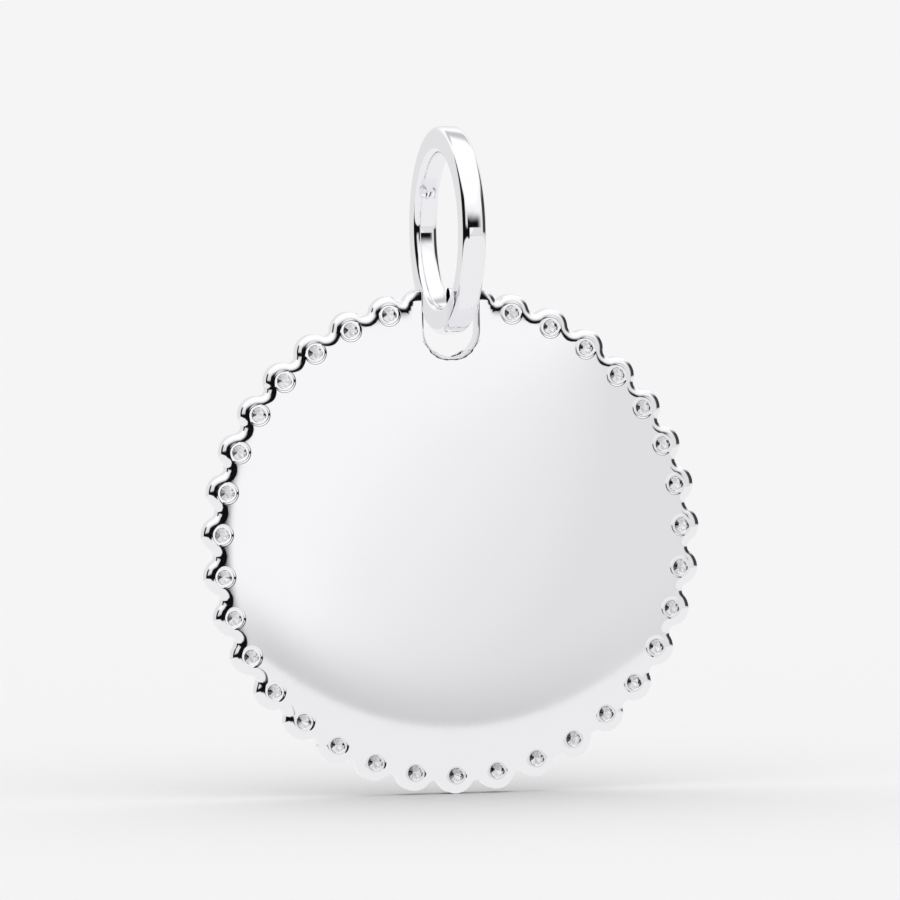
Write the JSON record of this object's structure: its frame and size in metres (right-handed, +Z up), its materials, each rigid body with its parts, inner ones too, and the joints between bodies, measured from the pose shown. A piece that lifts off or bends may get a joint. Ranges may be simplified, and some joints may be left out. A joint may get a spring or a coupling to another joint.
{
  "type": "disc pendant",
  "caption": "Polished silver disc pendant with a scalloped rim of small round clear stones, hanging from a plain round bail ring that passes through a slot.",
  "frame": {"origin": "the inner top of the bail ring, where a chain carries the pendant", "axes": "+Z up along the hanging pendant, +Y out of the front face with the stones' tables, and so -Y out of the back face with the drilled holes, +X along the bar that the bail carries"},
  "size_m": [0.023, 0.0094, 0.0302],
  "materials": {
    "silver": "sterling silver, mirror polished",
    "stone": "clear cubic zirconia, faceted and polished"
  },
  "bodies": {
    "bail": {"bail": "silver"},
    "disc": {"disc": "silver", "stone_01": "stone", "stone_02": "stone", "stone_03": "stone", "stone_04": "stone", "stone_05": "stone", "stone_06": "stone", "stone_07": "stone", "stone_08": "stone", "stone_09": "stone", "stone_10": "stone", "stone_11": "stone", "stone_12": "stone", "stone_13": "stone", "stone_14": "stone", "stone_15": "stone", "stone_16": "stone", "stone_17": "stone", "stone_18": "stone", "stone_19": "stone", "stone_20": "stone", "stone_21": "stone", "stone_22": "stone", "stone_23": "stone", "stone_24": "stone", "stone_25": "stone", "stone_26": "stone", "stone_27": "stone", "stone_28": "stone", "stone_29": "stone", "stone_30": "stone", "stone_31": "stone", "stone_32": "stone", "stone_33": "stone"}
  },
  "joints": [
    {"name": "disc_swing", "type": "hinge", "parent": "bail", "child": "disc", "pos_m": [0, 0, -0.00652], "axis": [1, 0, 0], "range_deg": [-48, 48]}
  ]
}
